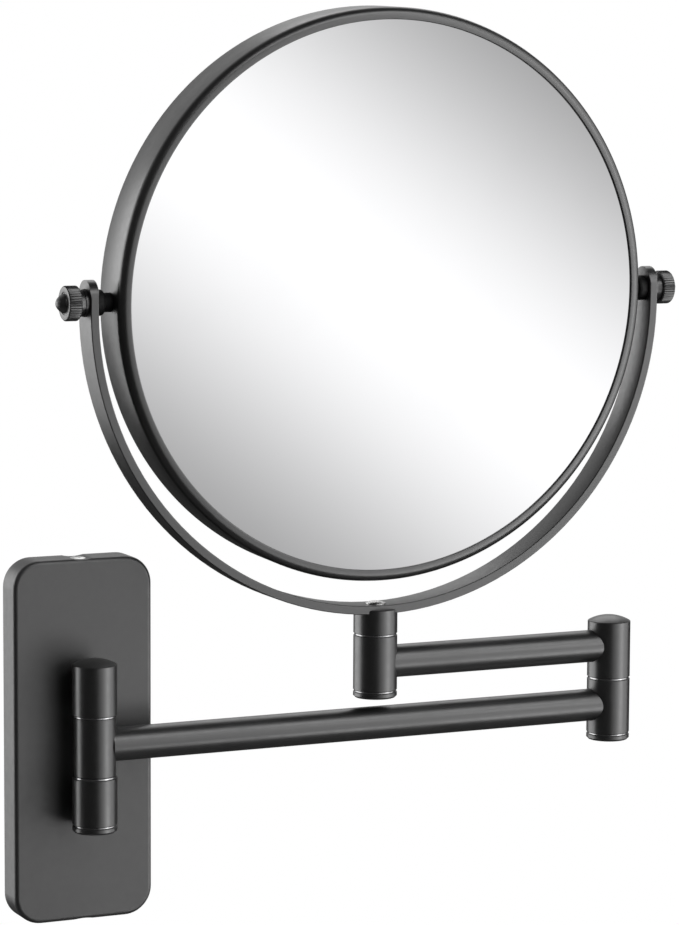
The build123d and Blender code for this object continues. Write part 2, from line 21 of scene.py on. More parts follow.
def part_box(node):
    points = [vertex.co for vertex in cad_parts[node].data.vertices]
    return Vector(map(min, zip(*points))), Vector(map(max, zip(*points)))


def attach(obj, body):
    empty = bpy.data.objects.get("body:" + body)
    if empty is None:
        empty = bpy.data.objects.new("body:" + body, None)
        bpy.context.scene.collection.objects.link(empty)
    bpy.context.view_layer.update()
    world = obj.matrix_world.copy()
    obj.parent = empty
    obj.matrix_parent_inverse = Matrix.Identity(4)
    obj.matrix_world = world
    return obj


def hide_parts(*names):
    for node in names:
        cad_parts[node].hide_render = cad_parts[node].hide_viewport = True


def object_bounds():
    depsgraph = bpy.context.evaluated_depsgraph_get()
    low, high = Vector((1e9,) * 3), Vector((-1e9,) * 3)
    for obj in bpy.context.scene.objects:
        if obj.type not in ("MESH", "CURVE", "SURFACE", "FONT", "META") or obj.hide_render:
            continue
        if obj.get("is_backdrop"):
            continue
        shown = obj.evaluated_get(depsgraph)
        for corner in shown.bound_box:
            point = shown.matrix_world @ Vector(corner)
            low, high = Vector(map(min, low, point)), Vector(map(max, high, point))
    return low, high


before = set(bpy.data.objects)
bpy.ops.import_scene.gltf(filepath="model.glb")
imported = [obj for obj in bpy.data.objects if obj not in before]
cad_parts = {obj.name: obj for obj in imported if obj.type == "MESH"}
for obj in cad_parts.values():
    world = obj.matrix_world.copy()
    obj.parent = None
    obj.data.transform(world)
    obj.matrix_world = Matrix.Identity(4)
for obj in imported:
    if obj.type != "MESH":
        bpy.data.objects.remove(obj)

LOG = logging.getLogger("shaving_mirror")
MM = 0.001
MERGE_DISTANCE = 0.001 * MM
REST_LEAN = math.radians(1.8)
WHITE = (1.0, 1.0, 1.0, 1.0)

NodeSocket = bpy.types.NodeSocket
Colour = tuple[float, float, float]


class Slot(Enum):
    """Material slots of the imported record."""

    BLACK_ENAMEL = "black_enamel"
    ZINC_STEEL = "zinc_steel"
    BRIGHT_SCREW = "bright_screw"
    STEEL_PIN = "steel_pin"
    BEARING_WASHER = "bearing_washer"
    MIRROR_GLASS = "mirror_glass"
    SPACER_PLASTIC = "spacer_plastic"
    BACKING_FOAM = "backing_foam"


class Body(Enum):
    """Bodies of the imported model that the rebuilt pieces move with."""

    YOKE = "yoke"
    MIRROR_HEAD = "mirror_head"
    LEFT_KNOB = "left_knob"
    RIGHT_KNOB = "right_knob"


# ---------------------------------------------------------------------------
# Shader graphs
# ---------------------------------------------------------------------------


@dataclass
class Graph:
    """A small helper that adds nodes to one tree and links them."""

    tree: bpy.types.NodeTree

    def node(self, kind: str, **settings: object) -> bpy.types.Node:
        """Adds a node and sets its properties.

        Args:
            kind: The node's type name.
            settings: Property names and values.

        Returns:
            The new node.
        """
        made = self.tree.nodes.new(kind)
        for name, value in settings.items():
            setattr(made, name, value)
        return made

    def link(self, source: NodeSocket, target: NodeSocket) -> None:
        """Joins an output to an input."""
        self.tree.links.new(source, target)

    def feed(self, target: NodeSocket, value: NodeSocket | float | Sequence[float]) -> None:
        """Gives an input either a link or a fixed value.

        Args:
            target: The input socket.
            value: An output socket to link, or the value itself.
        """
        if isinstance(value, NodeSocket):
            self.link(value, target)
        else:
            target.default_value = value

    def object_point(self) -> NodeSocket:
        """The piece's own coordinates, in metres."""
        return self.node("ShaderNodeTexCoord").outputs["Object"]

    def mapped(
        self,
        point: NodeSocket,
        scale: Sequence[float] = (1.0, 1.0, 1.0),
        turn: Sequence[float] = (0.0, 0.0, 0.0),
    ) -> NodeSocket:
        """Scales coordinates by a different amount along each axis, and turns them.

        Args:
            point: The coordinates.
            scale: The factors along X, Y and Z.
            turn: The turns about X, Y and Z, in radians.

        Returns:
            The changed coordinates.
        """
        mapping = self.node("ShaderNodeMapping")
        mapping.inputs["Scale"].default_value = scale
        mapping.inputs["Rotation"].default_value = turn
        self.link(point, mapping.inputs["Vector"])
        return mapping.outputs["Vector"]

    def along(self, point: NodeSocket, axis: str) -> NodeSocket:
        """Takes one coordinate of a point.

        Args:
            point: The coordinates.
            axis: X, Y or Z.

        Returns:
            The coordinate.
        """
        parts = self.node("ShaderNodeSeparateXYZ")
        self.link(point, parts.inputs["Vector"])
        return parts.outputs[axis]

    def noise(
        self,
        point: NodeSocket,
        scale: NodeSocket | float,
        detail: float = 3.0,
        roughness: float = 0.55,
    ) -> NodeSocket:
        """Smooth noise from 0 to 1.

        Args:
            point: The coordinates.
            scale: Features per metre.
            detail: How many octaves.
            roughness: How strong the finer octaves are.

        Returns:
            The noise value.
        """
        made = self.node("ShaderNodeTexNoise")
        self.feed(made.inputs["Scale"], scale)
        made.inputs["Detail"].default_value = detail
        made.inputs["Roughness"].default_value = roughness
        self.link(point, made.inputs["Vector"])
        return made.outputs["Fac"]

    def spread(
        self,
        value: NodeSocket,
        low: NodeSocket | float,
        high: NodeSocket | float,
        from_low: float = 0.0,
        from_high: float = 1.0,
        smooth: bool = False,
    ) -> NodeSocket:
        """Maps a value from one range to another, clamped.

        Args:
            value: The value to map.
            low: Result at from_low.
            high: Result at from_high.
            from_low: Start of the input range.
            from_high: End of the input range.
            smooth: Eases both ends.

        Returns:
            The mapped value.
        """
        made = self.node("ShaderNodeMapRange", interpolation_type="SMOOTHSTEP" if smooth else "LINEAR")
        self.link(value, made.inputs["Value"])
        made.inputs["From Min"].default_value = from_low
        made.inputs["From Max"].default_value = from_high
        self.feed(made.inputs["To Min"], low)
        self.feed(made.inputs["To Max"], high)
        return made.outputs["Result"]

    def maths(
        self, operation: str, first: NodeSocket | float, second: NodeSocket | float = 0.0
    ) -> NodeSocket:
        """One arithmetic step.

        Args:
            operation: The Math node's operation.
            first: The first operand.
            second: The second operand.

        Returns:
            The result.
        """
        made = self.node("ShaderNodeMath", operation=operation)
        self.feed(made.inputs[0], first)
        self.feed(made.inputs[1], second)
        return made.outputs["Value"]

    def blend_colours(
        self, amount: NodeSocket, first: NodeSocket | Sequence[float], second: NodeSocket | Sequence[float]
    ) -> NodeSocket:
        """Mixes two colours.

        Args:
            amount: 0 for the first colour, 1 for the second.
            first: A colour or a socket.
            second: A colour or a socket.

        Returns:
            The mixed colour.
        """
        made = self.node("ShaderNodeMix", data_type="RGBA")
        self.link(amount, made.inputs["Factor"])
        self.feed(made.inputs[6], first)
        self.feed(made.inputs[7], second)
        return made.outputs[2]

    def bump(self, height: NodeSocket, distance: float, strength: float = 1.0) -> NodeSocket:
        """A normal from a height.

        Args:
            height: The height, from 0 to 1.
            distance: The height of 1, in metres.
            strength: How much of the effect to use.

        Returns:
            The bent normal.
        """
        made = self.node("ShaderNodeBump")
        made.inputs["Strength"].default_value = strength
        made.inputs["Distance"].default_value = distance
        self.link(height, made.inputs["Height"])
        return made.outputs["Normal"]

    def hidden_or_seen(self, hidden: NodeSocket, seen: NodeSocket) -> NodeSocket:
        """Uses one shader where the camera looks straight at it, and another for light and reflections.

        Args:
            hidden: The shader for light and reflections.
            seen: The shader for the camera.

        Returns:
            The mixed shader.
        """
        path = self.node("ShaderNodeLightPath")
        mix = self.node("ShaderNodeMixShader")
        self.link(path.outputs["Is Camera Ray"], mix.inputs["Fac"])
        self.link(hidden, mix.inputs[1])
        self.link(seen, mix.inputs[2])
        return mix.outputs["Shader"]

    def group(
        self, tree: bpy.types.NodeTree, **values: NodeSocket | float | Sequence[float]
    ) -> bpy.types.Node:
        """Places a shared effect.

        Args:
            tree: The effect's node group.
            values: Values or sockets for its inputs, with _ for each space in a name.

        Returns:
            The placed node.
        """
        made = self.node("ShaderNodeGroup")
        made.node_tree = tree
        for name, value in values.items():
            self.feed(made.inputs[name.replace("_", " ")], value)
        return made


def empty_graph(owner: bpy.types.Material | bpy.types.World) -> Graph:
    """Clears the nodes of a material or a world.

    Args:
        owner: The material or the world.

    Returns:
        A graph on its empty tree.
    """
    owner.use_nodes = True
    owner.node_tree.nodes.clear()
    return Graph(owner.node_tree)


def open_group(
    name: str, values: dict[str, float], results: Sequence[str]
) -> tuple[Graph, bpy.types.Node, bpy.types.Node]:
    """Starts a node group with a Vector input, value inputs and value outputs.

    Args:
        name: The group's name.
        values: The value inputs, each with its default.
        results: The names of the outputs.

    Returns:
        The graph, its input node and its output node.
    """
    tree = bpy.data.node_groups.new(name, "ShaderNodeTree")
    tree.interface.new_socket("Vector", in_out="INPUT", socket_type="NodeSocketVector")
    for label, value in values.items():
        socket = tree.interface.new_socket(label, in_out="INPUT", socket_type="NodeSocketFloat")
        socket.default_value = value
    for label in results:
        tree.interface.new_socket(label, in_out="OUTPUT", socket_type="NodeSocketFloat")
    graph = Graph(tree)
    return graph, graph.node("NodeGroupInput"), graph.node("NodeGroupOutput")


def built_once(
    maker: Callable[[EffectLibrary], bpy.types.NodeTree],
) -> Callable[[EffectLibrary], bpy.types.NodeTree]:
    """Lets an effect be built when it is first asked for and shared after that.

    Args:
        maker: The method that builds the effect's node group.

    Returns:
        A method that gives the one group.
    """

    @wraps(maker)
    def shared(library: EffectLibrary) -> bpy.types.NodeTree:
        """The effect's one node group."""
        if maker.__name__ not in library.built:
            library.built[maker.__name__] = maker(library)
        return library.built[maker.__name__]

    return shared


@dataclass
class EffectLibrary:
    """Effects that several finishes share, each a node group that is built once."""

    built: dict[str, bpy.types.NodeTree] = field(default_factory=dict)

    @built_once
    def edge_wear(self) -> bpy.types.NodeTree:
        """A mask that is 1 on worn edges, broken up by noise.

        Returns:
            The node group, with the inputs Vector, Amount, Patch Scale and Radius.
        """
        graph, taken, given = open_group(
            "edge_wear", {"Amount": 0.5, "Patch Scale": 220.0, "Radius": 0.0006}, ["Mask"]
        )
        rounded = graph.node("ShaderNodeBevel", samples=8)
        graph.link(taken.outputs["Radius"], rounded.inputs["Radius"])
        flat = graph.node("ShaderNodeNewGeometry")
        dot = graph.node("ShaderNodeVectorMath", operation="DOT_PRODUCT")
        graph.link(rounded.outputs["Normal"], dot.inputs[0])
        graph.link(flat.outputs["Normal"], dot.inputs[1])
        edge = graph.spread(dot.outputs["Value"], 1.0, 0.0, 0.80, 0.95, smooth=True)
        patch = graph.noise(taken.outputs["Vector"], taken.outputs["Patch Scale"], 4.0)
        broken = graph.spread(patch, 0.0, 1.0, 0.42, 0.68, smooth=True)
        worn = graph.maths("MULTIPLY", edge, broken)
        graph.link(graph.maths("MULTIPLY", worn, taken.outputs["Amount"]), given.inputs["Mask"])
        return graph.tree

    @built_once
    def fine_grain(self) -> bpy.types.NodeTree:
        """Two sizes of fine surface grain, as of sprayed or moulded skins.

        Returns:
            The node group, with the inputs Vector, Scale and Coarse Share.
        """
        graph, taken, given = open_group(
            "fine_grain", {"Scale": 1500.0, "Coarse Share": 0.35}, ["Height", "Coarse"]
        )
        fine = graph.noise(taken.outputs["Vector"], taken.outputs["Scale"], 2.0, 0.6)
        wide_scale = graph.maths("MULTIPLY", taken.outputs["Scale"], 0.16)
        wide = graph.noise(taken.outputs["Vector"], wide_scale, 3.0, 0.5)
        share = graph.maths("MULTIPLY", wide, taken.outputs["Coarse Share"])
        rest = graph.maths("SUBTRACT", 1.0, taken.outputs["Coarse Share"])
        total = graph.maths("ADD", share, graph.maths("MULTIPLY", fine, rest))
        graph.link(total, given.inputs["Height"])
        graph.link(wide, given.inputs["Coarse"])
        return graph.tree

    @built_once
    def handling_marks(self) -> bpy.types.NodeTree:
        """Faint smudges that change the gloss of handled surfaces.

        Returns:
            The node group, with the inputs Vector and Scale.
        """
        graph, taken, given = open_group("handling_marks", {"Scale": 18.0}, ["Mask"])
        clouds = graph.noise(taken.outputs["Vector"], taken.outputs["Scale"], 4.0, 0.6)
        graph.link(graph.spread(clouds, 0.0, 1.0, 0.48, 0.72, smooth=True), given.inputs["Mask"])
        return graph.tree

    @built_once
    def turning_lines(self) -> bpy.types.NodeTree:
        """Fine tool or brush lines across one direction of the piece's coordinates.

        Returns:
            The node group, with the inputs Vector and Scale.
        """
        graph, taken, given = open_group("turning_lines", {"Scale": 60.0}, ["Lines"])
        drawn = graph.noise(taken.outputs["Vector"], taken.outputs["Scale"], 5.0, 0.7)
        graph.link(graph.spread(drawn, 0.0, 1.0, 0.3, 0.7), given.inputs["Lines"])
        return graph.tree


EFFECTS = EffectLibrary()


# ---------------------------------------------------------------------------
# Finishes
# ---------------------------------------------------------------------------


def start_material(name: str) -> tuple[bpy.types.Material, Graph, bpy.types.Node]:
    """Makes an empty material with a Principled shader at its output.

    Args:
        name: The material's name.

    Returns:
        The material, its graph and the Principled node.
    """
    material = bpy.data.materials.new(name)
    graph = empty_graph(material)
    shader = graph.node("ShaderNodeBsdfPrincipled")
    output = graph.node("ShaderNodeOutputMaterial")
    graph.link(shader.outputs["BSDF"], output.inputs["Surface"])
    return material, graph, shader


@dataclass(frozen=True)
class SatinEnamel:
    """Stoved satin black enamel with a fine sprayed texture and edges rubbed a little lighter."""

    name: str
    dark: Colour = (0.0080, 0.0080, 0.0083)
    light: Colour = (0.0145, 0.0145, 0.0149)
    worn: Colour = (0.070, 0.068, 0.066)
    roughness: tuple[float, float] = (0.30, 0.37)
    ior: float = 2.0
    specular: float = 0.7
    grain_scale: float = 2600.0
    grain_depth: float = 0.000008
    edge_amount: float = 0.45
    edge_radius: float = 0.0005
    cloud_scale: float = 34.0
    mark_scale: float = 22.0
    speck_share: float = 0.35
    handled_roughness: float = 0.045
    rubbed_roughness: float = -0.06

    def make(self) -> bpy.types.Material:
        """Builds the material.

        Returns:
            The finished material.
        """
        material, graph, shader = start_material(self.name)
        point = graph.object_point()
        grain = graph.group(EFFECTS.fine_grain(), Vector=point, Scale=self.grain_scale)
        marks = graph.group(EFFECTS.handling_marks(), Vector=point, Scale=self.mark_scale)
        wear = graph.group(
            EFFECTS.edge_wear(), Vector=point, Amount=self.edge_amount, Radius=self.edge_radius
        )
        clouds = graph.spread(graph.noise(point, self.cloud_scale, 4.0), 0.0, 1.0, 0.3, 0.7)
        body = graph.blend_colours(clouds, (*self.dark, 1), (*self.light, 1))
        speck = graph.spread(grain.outputs["Height"], 0.0, self.speck_share, 0.45, 0.8)
        flecked = graph.blend_colours(speck, body, (*self.light, 1))
        colour = graph.blend_colours(wear.outputs["Mask"], flecked, (*self.worn, 1))
        graph.link(colour, shader.inputs["Base Color"])
        low, high = self.roughness
        base = graph.spread(grain.outputs["Coarse"], low, high, 0.25, 0.75)
        handled = graph.maths("MULTIPLY", marks.outputs["Mask"], self.handled_roughness)
        rubbed = graph.maths("MULTIPLY", wear.outputs["Mask"], self.rubbed_roughness)
        graph.link(graph.maths("ADD", graph.maths("ADD", base, handled), rubbed), shader.inputs["Roughness"])
        shader.inputs["IOR"].default_value = self.ior
        shader.inputs["Specular IOR Level"].default_value = self.specular
        graph.link(graph.bump(grain.outputs["Height"], self.grain_depth), shader.inputs["Normal"])
        return material


@dataclass(frozen=True)
class BareMetal:
    """A plated or turned metal with fine drawn lines and small stains."""

    name: str
    bright: Colour
    dull: Colour
    roughness: tuple[float, float]
    line_stretch: tuple[float, float, float] = (1.0, 1.0, 12.0)
    line_scale: float = 260.0
    line_depth: float = 0.000006
    edge_amount: float = 0.6
    edge_radius: float = 0.0003
    edge_colour: Colour = (0.86, 0.86, 0.85)
    mark_scale: float = 70.0
    line_share: float = 0.45
    stain_share: float = 0.55

    def make(self) -> bpy.types.Material:
        """Builds the material.

        Returns:
            The finished material.
        """
        material, graph, shader = start_material(self.name)
        point = graph.object_point()
        lines = graph.group(
            EFFECTS.turning_lines(), Vector=graph.mapped(point, self.line_stretch), Scale=self.line_scale
        )
        marks = graph.group(EFFECTS.handling_marks(), Vector=point, Scale=self.mark_scale)
        wear = graph.group(
            EFFECTS.edge_wear(), Vector=point, Amount=self.edge_amount, Radius=self.edge_radius
        )
        stained = graph.spread(marks.outputs["Mask"], 0.0, self.stain_share)
        tone = graph.maths("ADD", graph.maths("MULTIPLY", lines.outputs["Lines"], self.line_share), stained)
        metal = graph.blend_colours(tone, (*self.bright, 1), (*self.dull, 1))
        colour = graph.blend_colours(wear.outputs["Mask"], metal, (*self.edge_colour, 1))
        graph.link(colour, shader.inputs["Base Color"])
        shader.inputs["Metallic"].default_value = 1.0
        low, high = self.roughness
        graph.link(graph.spread(tone, low, high), shader.inputs["Roughness"])
        graph.link(graph.bump(lines.outputs["Lines"], self.line_depth), shader.inputs["Normal"])
        return material


@dataclass(frozen=True)
class SilveredGlass:
    """Mirror glass: a clean reflection with the faintest film of wiped marks."""

    name: str
    tint: Colour = (0.955, 0.955, 0.965)
    film: Colour = (0.93, 0.93, 0.94)
    roughness: tuple[float, float] = (0.004, 0.03)
    mark_scale: float = 14.0
    ripple_scale: float = 900.0
    ripple_depth: float = 0.0000002
    ripple_strength: float = 0.2

    def make(self) -> bpy.types.Material:
        """Builds the material.

        Returns:
            The finished material.
        """
        material, graph, shader = start_material(self.name)
        point = graph.object_point()
        marks = graph.group(EFFECTS.handling_marks(), Vector=point, Scale=self.mark_scale)
        fine = graph.group(EFFECTS.fine_grain(), Vector=point, Scale=self.ripple_scale, Coarse_Share=0.6)
        film = graph.maths("MULTIPLY", marks.outputs["Mask"], graph.spread(fine.outputs["Height"], 0.3, 1.0))
        colour = graph.blend_colours(film, (*self.tint, 1), (*self.film, 1))
        graph.link(colour, shader.inputs["Base Color"])
        shader.inputs["Metallic"].default_value = 1.0
        low, high = self.roughness
        graph.link(graph.spread(film, low, high), shader.inputs["Roughness"])
        ripple = graph.bump(fine.outputs["Coarse"], self.ripple_depth, self.ripple_strength)
        graph.link(ripple, shader.inputs["Normal"])
        return material


@dataclass(frozen=True)
class DullPlastic:
    """A moulded or foamed sheet inside the head, with a soft uneven skin."""

    name: str
    dark: Colour
    light: Colour
    roughness: tuple[float, float] = (0.55, 0.75)
    grain_scale: float = 900.0
    grain_depth: float = 0.00004
    edge_amount: float = 0.4
    edge_radius: float = 0.0004
    edge_lift: float = 0.4

    def make(self) -> bpy.types.Material:
        """Builds the material.

        Returns:
            The finished material.
        """
        material, graph, shader = start_material(self.name)
        point = graph.object_point()
        grain = graph.group(EFFECTS.fine_grain(), Vector=point, Scale=self.grain_scale, Coarse_Share=0.5)
        wear = graph.group(
            EFFECTS.edge_wear(), Vector=point, Amount=self.edge_amount, Radius=self.edge_radius
        )
        lifted = graph.maths("MULTIPLY", wear.outputs["Mask"], self.edge_lift)
        tone = graph.maths("ADD", grain.outputs["Height"], lifted)
        colour = graph.blend_colours(tone, (*self.dark, 1), (*self.light, 1))
        graph.link(colour, shader.inputs["Base Color"])
        low, high = self.roughness
        graph.link(graph.spread(grain.outputs["Coarse"], low, high), shader.inputs["Roughness"])
        graph.link(graph.bump(grain.outputs["Height"], self.grain_depth), shader.inputs["Normal"])
        return material


@dataclass
class FinishCard:
    """The finishes of the whole object, one for each material slot."""

    made: dict[Slot, bpy.types.Material] = field(default_factory=dict)
    cover_coat: bpy.types.Material | None = None
    collar_coat: bpy.types.Material | None = None

    def build(self) -> None:
        """Makes every material once."""
        self.cover_coat = SatinEnamel("black_enamel_cover", roughness=(0.42, 0.50)).make()
        self.collar_coat = SatinEnamel(
            "black_enamel_dull", roughness=(0.50, 0.60), ior=1.5, specular=0.4, edge_amount=0.3
        ).make()
        self.made = {
            Slot.BLACK_ENAMEL: SatinEnamel("black_enamel_satin").make(),
            Slot.ZINC_STEEL: BareMetal(
                "zinc_plated_steel", (0.60, 0.61, 0.63), (0.36, 0.37, 0.40), (0.28, 0.46)
            ).make(),
            Slot.BRIGHT_SCREW: BareMetal(
                "nickel_screw",
                (0.92, 0.92, 0.91),
                (0.66, 0.66, 0.66),
                (0.24, 0.42),
                line_stretch=(1.0, 1.0, 1.0),
                line_scale=900.0,
            ).make(),
            Slot.STEEL_PIN: BareMetal(
                "turned_steel", (0.58, 0.58, 0.60), (0.38, 0.38, 0.40), (0.22, 0.36)
            ).make(),
            Slot.BEARING_WASHER: BareMetal(
                "rubbed_washer", (0.66, 0.66, 0.67), (0.22, 0.22, 0.22), (0.22, 0.36), edge_amount=0.9
            ).make(),
            Slot.MIRROR_GLASS: SilveredGlass("silvered_glass").make(),
            Slot.SPACER_PLASTIC: DullPlastic(
                "spacer_moulding", (0.010, 0.010, 0.011), (0.030, 0.030, 0.031)
            ).make(),
            Slot.BACKING_FOAM: DullPlastic("backing_sheet", (0.12, 0.12, 0.12), (0.24, 0.24, 0.24)).make(),
        }

    def dress(self, piece: bpy.types.Object, slot: Slot) -> None:
        """Gives a piece one finish all over.

        Args:
            piece: The piece's object.
            slot: The slot that the finish stands for.
        """
        self.coat(piece, self.made[slot])

    def coat(self, piece: bpy.types.Object, material: bpy.types.Material) -> None:
        """Puts one material on a piece in place of whatever it had.

        Args:
            piece: The piece's object.
            material: The material.
        """
        piece.data.materials.clear()
        piece.data.materials.append(material)


# ---------------------------------------------------------------------------
# Workshop: turned and cut pieces
# ---------------------------------------------------------------------------


def deselect_all() -> None:
    """Leaves no object selected."""
    bpy.ops.object.select_all(action="DESELECT")


def select_only(piece: bpy.types.Object) -> None:
    """Makes a piece the only selected object and the active one."""
    deselect_all()
    piece.select_set(True)
    bpy.context.view_layer.objects.active = piece


def select_vertices(piece: bpy.types.Object, test: Callable[[Vector], bool]) -> int:
    """Selects the vertices that pass a test of their place, in edit mode.

    Args:
        piece: The object in edit mode.
        test: Takes a vertex's place and says whether to pick it.

    Returns:
        How many vertices are picked.
    """
    shape = bmesh.from_edit_mesh(piece.data)
    bpy.ops.mesh.select_all(action="DESELECT")
    picked = [vertex for vertex in shape.verts if test(vertex.co)]
    for vertex in picked:
        vertex.select = True
    shape.select_flush(True)
    bmesh.update_edit_mesh(piece.data)
    return len(picked)


def settle(piece: bpy.types.Object, place: Matrix) -> None:
    """Moves a finished piece to its place and puts the place into its mesh.

    Args:
        piece: The object, made about the origin.
        place: Where it goes.
    """
    select_only(piece)
    piece.matrix_world = place
    bpy.ops.object.transform_apply(location=True, rotation=True, scale=True)


def combine(piece: bpy.types.Object, other: bpy.types.Object, operation: str) -> None:
    """Joins a closed shape to another, or cuts it out, and removes it.

    Args:
        piece: The object that stays.
        other: The shape that is used up.
        operation: UNION or DIFFERENCE.
    """
    select_only(piece)
    change = piece.modifiers.new("combine", "BOOLEAN")
    change.operation = operation
    change.solver = "EXACT"
    change.object = other
    bpy.ops.object.modifier_apply(modifier=change.name)
    bpy.data.objects.remove(other, do_unlink=True)


def smooth(piece: bpy.types.Object, degrees: float = 32.0) -> None:
    """Shades a piece smooth, with edges sharper than an angle left crisp.

    Args:
        piece: The object.
        degrees: The angle from which an edge stays sharp.
    """
    select_only(piece)
    bpy.ops.object.shade_smooth_by_angle(angle=math.radians(degrees))


@dataclass(frozen=True)
class Corner:
    """One corner of a turned outline, in millimetres, with how far back its sides are rounded."""

    radius: float
    along: float
    rounding: float = 0.0
    segments: int = 3

    def place(self) -> Vector:
        """Where the corner is drawn, in metres."""
        return Vector((self.radius * MM, 0.0, self.along * MM))


@dataclass
class TurnedPiece:
    """A piece drawn as an outline beside the Z axis, with rounded corners, and spun round it."""

    name: str
    outline: Sequence[Corner]
    steps: int = 128
    closed: bool = True

    def build(self) -> bpy.types.Object:
        """Draws, rounds and spins the outline about the world's Z axis.

        Returns:
            The closed piece, at the origin.
        """
        deselect_all()
        bpy.ops.mesh.primitive_plane_add(size=MM, location=(0.0, 0.0, 0.0))
        piece = bpy.context.active_object
        piece.name = self.name
        piece.data.name = self.name
        bpy.ops.object.mode_set(mode="EDIT")
        bpy.ops.mesh.select_mode(type="VERT")
        bpy.ops.mesh.select_all(action="SELECT")
        bpy.ops.mesh.merge(type="CENTER")
        bpy.ops.transform.translate(value=self.outline[0].place())
        for before, after in zip(self.outline, self.outline[1:]):
            step = after.place() - before.place()
            bpy.ops.mesh.extrude_vertices_move(TRANSFORM_OT_translate={"value": step})
        if self.closed:
            ends = (self.outline[0].place(), self.outline[-1].place())
            select_vertices(piece, lambda at: any((at - end).length < MERGE_DISTANCE for end in ends))
            bpy.ops.mesh.edge_face_add()
        for corner in self.outline:
            if corner.rounding > 0.0:
                spot = corner.place()
                select_vertices(piece, lambda at, spot=spot: (at - spot).length < MERGE_DISTANCE)
                bpy.ops.mesh.bevel(
                    offset=corner.rounding * MM, segments=corner.segments, affect="VERTICES", profile=0.5
                )
        bpy.ops.mesh.select_all(action="SELECT")
        bpy.ops.mesh.spin(
            steps=self.steps,
            angle=math.tau,
            center=(0.0, 0.0, 0.0),
            axis=(0.0, 0.0, 1.0),
            use_auto_merge=True,
        )
        bpy.ops.mesh.select_all(action="SELECT")
        bpy.ops.mesh.remove_doubles(threshold=MERGE_DISTANCE)
        bpy.ops.mesh.normals_make_consistent(inside=False)
        bpy.ops.object.mode_set(mode="OBJECT")
        return piece


# ---------------------------------------------------------------------------
# Sub-assemblies
# ---------------------------------------------------------------------------


@dataclass
class SubAssembly:
    """Pieces that move together, with the finish that each one takes."""

    finishes: FinishCard
    node_slots: dict[str, Slot] = field(default_factory=dict)
    pieces: list[bpy.types.Object] = field(default_factory=list)

    def dress_nodes(self) -> None:
        """Gives the CAD nodes that stay their finishes."""
        for node, slot in self.node_slots.items():
            self.finishes.dress(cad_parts[node], slot)
            LOG.info("dressed %s as %s", node, slot.value)

    def build(self) -> None:
        """Builds the pieces that replace CAD nodes, if there are any."""

    def hand_over(self, piece: bpy.types.Object, node: str, slot: Slot, body: Body) -> None:
        """Lets a finished piece stand for a CAD node.

        Args:
            piece: The new piece.
            node: The CAD node that it replaces.
            slot: The material slot that it takes its finish from.
            body: The body that it moves with.
        """
        self.finishes.dress(piece, slot)
        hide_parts(node)
        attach(piece, body.value)
        self.pieces.append(piece)
        LOG.info("built %s in place of %s, %d faces", piece.name, node, len(piece.data.polygons))

    def make(self) -> None:
        """Builds and dresses the whole sub-assembly."""
        self.build()
        self.dress_nodes()


def head_place() -> Matrix:
    """The mirror's centre and rest lean, as a placement."""
    low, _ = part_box("knob_left")
    _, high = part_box("knob_right")
    return Matrix.Translation((low + high) / 2) @ Matrix.Rotation(REST_LEAN, 4, "X")


@dataclass
class WallMount(SubAssembly):
    """Bracket, cover, stubs and the two fixed knuckles on the wall."""

    node_slots: dict[str, Slot] = field(
        default_factory=lambda: {
            "wall_bracket": Slot.ZINC_STEEL,
            "bracket_set_screws": Slot.BRIGHT_SCREW,
            "cover_stiffener": Slot.ZINC_STEEL,
            "stub_screws": Slot.BRIGHT_SCREW,
            "wall_stub_upper": Slot.BLACK_ENAMEL,
            "wall_stub_lower": Slot.BLACK_ENAMEL,
            "wall_knuckle_upper": Slot.BLACK_ENAMEL,
            "wall_knuckle_lower": Slot.BLACK_ENAMEL,
            "wall_pin": Slot.STEEL_PIN,
            "wall_washers": Slot.BEARING_WASHER,
            "wall_cap_washer": Slot.BEARING_WASHER,
            "wall_end_cap": Slot.BLACK_ENAMEL,
        }
    )

    def build(self) -> None:
        """Gives the drawn cover its own, slightly duller coat."""
        self.finishes.coat(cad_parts["wall_cover"], self.finishes.cover_coat)


@dataclass
class LongArm(SubAssembly):
    """The lower arm with its wall sleeve and elbow knuckle."""

    node_slots: dict[str, Slot] = field(
        default_factory=lambda: {
            "long_arm_wall_sleeve": Slot.BLACK_ENAMEL,
            "long_arm_tube": Slot.BLACK_ENAMEL,
            "long_arm_elbow_knuckle": Slot.BLACK_ENAMEL,
        }
    )


@dataclass
class ShortArm(SubAssembly):
    """The upper arm with both of its knuckles and the elbow's pin."""

    node_slots: dict[str, Slot] = field(
        default_factory=lambda: {
            "short_arm_elbow_knuckle": Slot.BLACK_ENAMEL,
            "short_arm_tube": Slot.BLACK_ENAMEL,
            "short_arm_head_knuckle": Slot.BLACK_ENAMEL,
            "elbow_pin": Slot.STEEL_PIN,
            "elbow_washer": Slot.BEARING_WASHER,
            "elbow_cap_washer": Slot.BEARING_WASHER,
            "elbow_end_cap": Slot.BLACK_ENAMEL,
        }
    )


